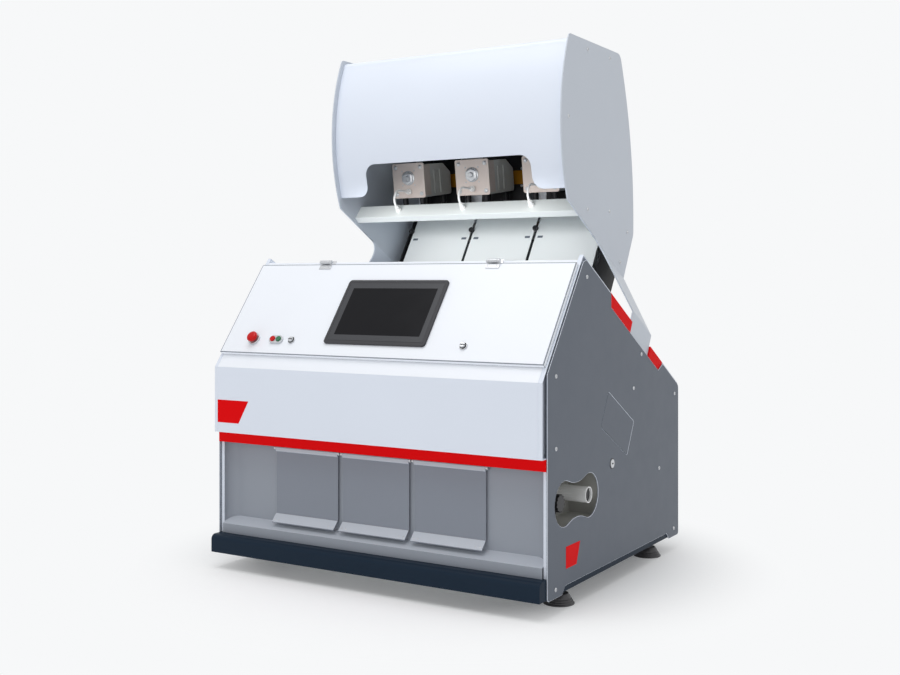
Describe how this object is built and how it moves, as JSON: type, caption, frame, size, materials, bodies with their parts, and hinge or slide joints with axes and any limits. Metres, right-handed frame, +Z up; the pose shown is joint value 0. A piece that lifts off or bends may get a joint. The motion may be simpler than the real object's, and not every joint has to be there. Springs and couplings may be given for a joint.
{
  "type": "optical colour sorter",
  "caption": "Free-standing optical colour sorter for grain, with a feed hopper on side arms, vibrating feeders, slanted chutes, a screen door and front outlet flaps.",
  "frame": {"origin": "on the floor, at the middle of the machine's width and depth", "axes": "+X to the right as seen from the front, +Y to the back, +Z up"},
  "size_m": [1.316, 1.167, 1.8735],
  "materials": {
    "white_paint": "satin powder coat",
    "light_paint": "satin powder coat",
    "silver_paint": "satin powder coat",
    "dark_paint": "satin powder coat",
    "wall_paint": "satin powder coat",
    "navy_paint": "satin powder coat",
    "red_paint": "satin powder coat",
    "black_paint": "matt powder coat",
    "bright_steel": "fine brushed",
    "feeder_steel": "fine brushed",
    "chute_sheet": "matt anodised",
    "face_plate": "fine brushed",
    "cast_drive": "painted casting",
    "amber_leaf": "glass-fibre laminate",
    "black_rubber": "matt moulded",
    "black_plastic": "fine texture",
    "bezel_plastic": "fine texture",
    "white_plastic": "smooth",
    "red_plastic": "gloss",
    "green_plastic": "gloss",
    "screen_glass": "gloss",
    "clear_glass": "polished"
  },
  "bodies": {
    "machine": {"plinth_frame": "navy_paint", "foot_pads": "black_rubber", "foot_studs": "bright_steel", "side_frame_right": "light_paint", "side_frame_left": "light_paint", "side_panel_right": "dark_paint", "side_panel_left": "dark_paint", "panel_screws": "bright_steel", "red_trims": "red_paint", "front_panel": "light_paint", "outlet_front": "wall_paint", "rear_panel": "silver_paint", "slope_cover": "light_paint", "top_rail": "white_paint", "door_hinge_brackets": "bright_steel", "flap_hinge_rails": "bright_steel", "service_recess": "silver_paint", "air_inlet_pipe": "bright_steel", "filter_regulator": "black_plastic", "side_hatch": "dark_paint", "hopper_plate_right": "silver_paint", "hopper_plate_left": "silver_paint", "hopper_front_cover": "white_paint", "hopper_rear_cover": "white_paint", "cover_handles": "black_plastic", "feed_bin": "feeder_steel", "feeder_beam": "feeder_steel", "feeder_mounts": "cast_drive", "feeder_drives": "cast_drive", "feeder_face_plates": "face_plate", "cable_glands": "white_plastic", "feeder_cables": "white_plastic", "leaf_springs": "amber_leaf", "chute_frame": "black_paint", "chutes": "chute_sheet", "chute_covers": "chute_sheet", "chute_knobs": "black_plastic", "camera_boxes": "wall_paint", "viewing_windows": "clear_glass", "ejector_manifold": "silver_paint", "outlet_ducts": "feeder_steel", "electrical_box": "silver_paint"},
    "control_door": {"control_door": "white_paint", "door_hinge_leaves": "bright_steel", "screen_bezel": "bezel_plastic", "screen_glass": "screen_glass", "control_fittings": "bright_steel"},
    "estop_button": {"estop_button": "red_plastic"},
    "start_button": {"start_button": "green_plastic"},
    "stop_button": {"stop_button": "red_plastic"},
    "door_lock_left": {"door_lock_left": "bright_steel"},
    "door_lock_right": {"door_lock_right": "bright_steel"},
    "outlet_flap_left": {"outlet_flap_left": "wall_paint"},
    "outlet_flap_middle": {"outlet_flap_middle": "wall_paint"},
    "outlet_flap_right": {"outlet_flap_right": "wall_paint"},
    "feed_tray_left": {"feed_tray_left": "feeder_steel"},
    "feed_tray_middle": {"feed_tray_middle": "feeder_steel"},
    "feed_tray_right": {"feed_tray_right": "feeder_steel"},
    "panel_lock": {"panel_lock": "bright_steel"},
    "regulator_knob": {"regulator_knob": "black_plastic"}
  },
  "joints": [
    {"name": "control_door_hinge", "type": "hinge", "parent": "machine", "child": "control_door", "pos_m": [0, -0.31525, 1.08531], "axis": [-1, 0, 0], "range_deg": [0, 80]},
    {"name": "estop_press", "type": "slide", "parent": "control_door", "child": "estop_button", "axis": [0, 0.8003, -0.5996], "range_m": [0, 0.006], "stiffness_N_per_m": 400, "springref_m": -0.003},
    {"name": "start_press", "type": "slide", "parent": "control_door", "child": "start_button", "axis": [0, 0.8003, -0.5996], "range_m": [0, 0.003], "stiffness_N_per_m": 300, "springref_m": -0.002},
    {"name": "stop_press", "type": "slide", "parent": "control_door", "child": "stop_button", "axis": [0, 0.8003, -0.5996], "range_m": [0, 0.003], "stiffness_N_per_m": 300, "springref_m": -0.002},
    {"name": "door_lock_left_turn", "type": "hinge", "parent": "control_door", "child": "door_lock_left", "pos_m": [-0.346, -0.51033, 0.81162], "axis": [0, -0.8003, 0.5996], "range_deg": [0, 90]},
    {"name": "door_lock_right_turn", "type": "hinge", "parent": "control_door", "child": "door_lock_right", "pos_m": [0.346, -0.51033, 0.81162], "axis": [0, -0.8003, 0.5996], "range_deg": [0, 90]},
    {"name": "outlet_flap_left_hinge", "type": "hinge", "parent": "machine", "child": "outlet_flap_left", "pos_m": [0, -0.4985, 0.434], "axis": [-1, 0, 0], "range_deg": [0, 70]},
    {"name": "outlet_flap_middle_hinge", "type": "hinge", "parent": "machine", "child": "outlet_flap_middle", "pos_m": [0, -0.4985, 0.434], "axis": [-1, 0, 0], "range_deg": [0, 70]},
    {"name": "outlet_flap_right_hinge", "type": "hinge", "parent": "machine", "child": "outlet_flap_right", "pos_m": [0, -0.4985, 0.434], "axis": [-1, 0, 0], "range_deg": [0, 70]},
    {"name": "feed_tray_left_shake", "type": "slide", "parent": "machine", "child": "feed_tray_left", "axis": [0, 1, 0], "range_m": [-0.0015, 0.0015], "stiffness_N_per_m": 20000},
    {"name": "feed_tray_middle_shake", "type": "slide", "parent": "machine", "child": "feed_tray_middle", "axis": [0, 1, 0], "range_m": [-0.0015, 0.0015], "stiffness_N_per_m": 20000},
    {"name": "feed_tray_right_shake", "type": "slide", "parent": "machine", "child": "feed_tray_right", "axis": [0, 1, 0], "range_m": [-0.0015, 0.0015], "stiffness_N_per_m": 20000},
    {"name": "panel_lock_turn", "type": "hinge", "parent": "machine", "child": "panel_lock", "pos_m": [0.65, -0.0555, 0.406], "axis": [1, 0, 0], "range_deg": [0, 90]},
    {"name": "regulator_knob_turn", "type": "hinge", "parent": "machine", "child": "regulator_knob", "pos_m": [0.6, -0.4185, 0.33], "axis": [1, 0, 0], "range_deg": [0, 270]}
  ]
}
